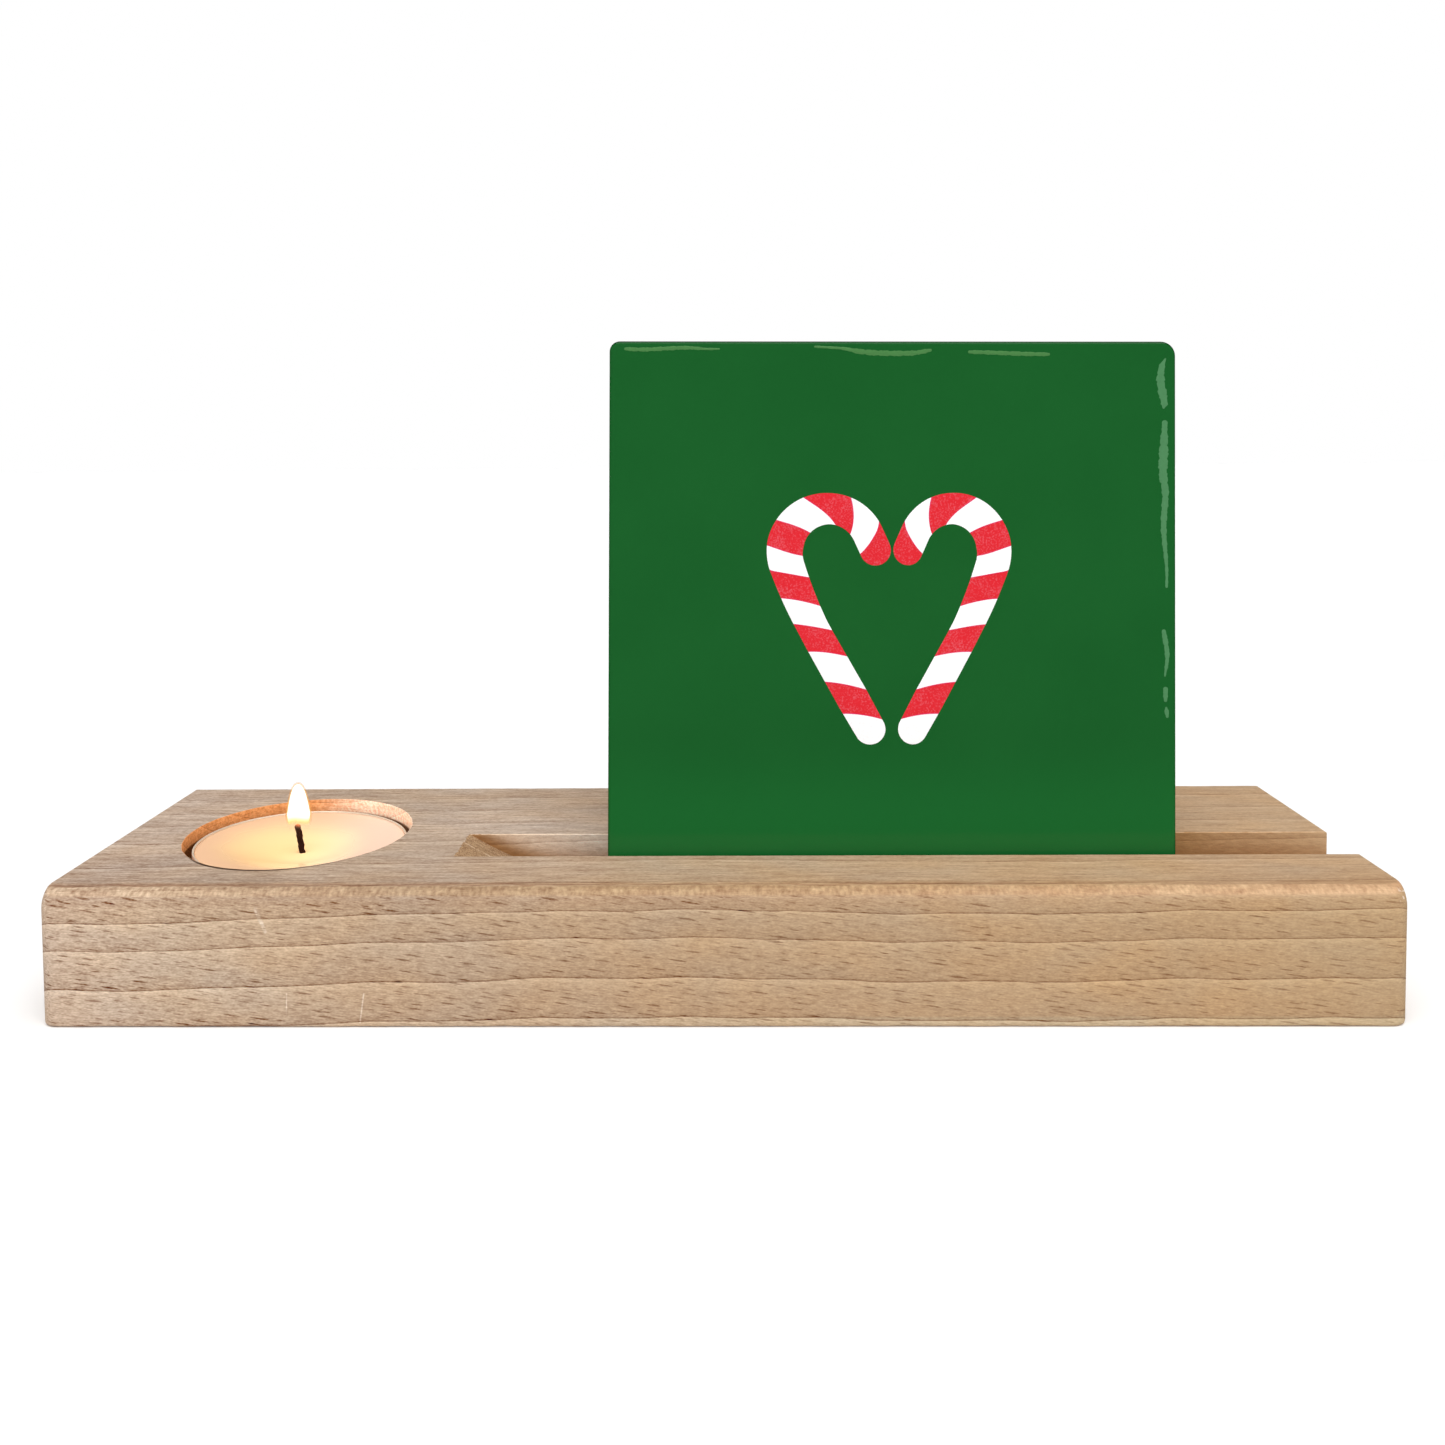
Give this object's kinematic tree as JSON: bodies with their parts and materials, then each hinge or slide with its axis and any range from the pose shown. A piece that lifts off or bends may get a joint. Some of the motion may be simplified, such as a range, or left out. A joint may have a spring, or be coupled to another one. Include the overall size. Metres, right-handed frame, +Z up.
{
  "type": "wooden tealight holder with an upright ceramic tile",
  "caption": "Long beech block with a round recess that holds a tealight and a sawn slot that holds a square glazed tile upright.",
  "frame": {"origin": "centre of the block's underside, on the surface that the holder stands on", "axes": "+X along the block from the tealight's end to the open end of the slot, +Y away from the viewer who sees the tile's glazed face, +Z up"},
  "size_m": [0.2192, 0.0582, 0.1109],
  "materials": {
    "beech": "planed and hand-sanded bare beech",
    "tile_glaze": "deep green glossy glaze over a pale body",
    "cup_metal": "thin pressed foil",
    "wax": "soft satin paraffin wax, molten round the wick",
    "wick_char": "burnt cotton"
  },
  "bodies": {
    "root": {"block": "beech", "tile": "tile_glaze", "tealight_cup": "cup_metal", "tealight_wax": "wax", "tealight_wick": "wick_char"}
  },
  "joints": []
}
